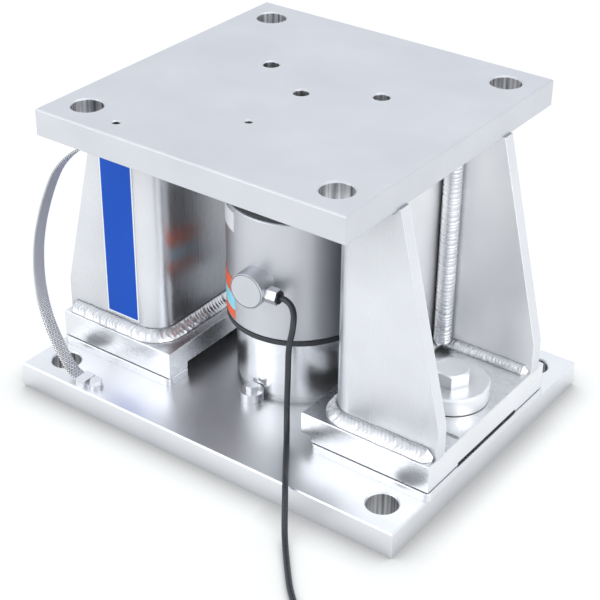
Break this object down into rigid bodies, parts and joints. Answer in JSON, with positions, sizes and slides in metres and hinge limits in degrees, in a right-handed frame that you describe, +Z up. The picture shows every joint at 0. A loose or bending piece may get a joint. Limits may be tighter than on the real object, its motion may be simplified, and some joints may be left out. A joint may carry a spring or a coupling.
{
  "type": "weighing module",
  "caption": "Compression weighing module: base plate and top plate around a sealed column load cell, with a welded hold-down guard at each side.",
  "frame": {"origin": "centre of the base plate's underside", "axes": "+X along the base plate's long side, +Y away from the side with the cable, +Z up along the load axis"},
  "size_m": [0.4356, 0.4186, 0.241],
  "materials": {
    "blasted_steel": "bead blasted, matt",
    "braid": "tinned flat braid",
    "bush_rubber": "slightly glossy",
    "cable_sheath": "slightly glossy",
    "cap_steel": "fine matt",
    "fastener_steel": "bright",
    "ground_steel": "ground and bright",
    "label_band": "printed film",
    "label_blue": "printed film",
    "mirror_steel": "turned and polished",
    "polished_steel": "ground to a soft mirror",
    "satin_steel": "fine satin brushing",
    "seal_rubber": "matt",
    "sleeve_plastic": "matt shrink sleeve",
    "tie_plastic": "matt",
    "tinned_lug": "tinned",
    "weld_bead": "rippled weld bead, cleaned"
  },
  "bodies": {
    "root": {"base_plate": "polished_steel", "bracket_left": "satin_steel", "bracket_right": "satin_steel", "cable": "cable_sheath", "cable_bush": "bush_rubber", "cable_coil": "cable_sheath", "cable_gland": "fastener_steel", "cable_tail": "sleeve_plastic", "cell_label_lower": "label_band", "cell_label_upper": "label_band", "coil_tie_1": "tie_plastic", "coil_tie_2": "tie_plastic", "corner_weld_left": "weld_bead", "corner_weld_right": "weld_bead", "distance_sleeve_left": "fastener_steel", "distance_sleeve_right": "fastener_steel", "floor_weld_left": "weld_bead", "floor_weld_right": "weld_bead", "foot_left": "ground_steel", "foot_right": "ground_steel", "foot_weld_left": "weld_bead", "foot_weld_right": "weld_bead", "ground_strap": "braid", "hold_down_bolt_left": "fastener_steel", "hold_down_bolt_right": "fastener_steel", "housing_cap": "cap_steel", "load_cell": "blasted_steel", "lower_receiver": "mirror_steel", "lower_seal": "seal_rubber", "pad_left": "ground_steel", "pad_right": "ground_steel", "side_label": "label_blue", "stop_collar_lower": "fastener_steel", "stop_collar_upper": "fastener_steel", "stop_screw_lower": "fastener_steel", "stop_screw_upper": "fastener_steel", "strap_lug_lower": "tinned_lug", "strap_lug_upper": "tinned_lug", "strap_screw_lower": "fastener_steel", "strap_screw_upper": "fastener_steel", "strap_washer_lower": "fastener_steel", "strap_washer_upper": "fastener_steel", "top_plate": "satin_steel", "top_weld_left": "weld_bead", "top_weld_right": "weld_bead", "upper_receiver": "mirror_steel", "upper_seal": "seal_rubber", "washer_left": "fastener_steel", "washer_right": "fastener_steel"}
  },
  "joints": []
}
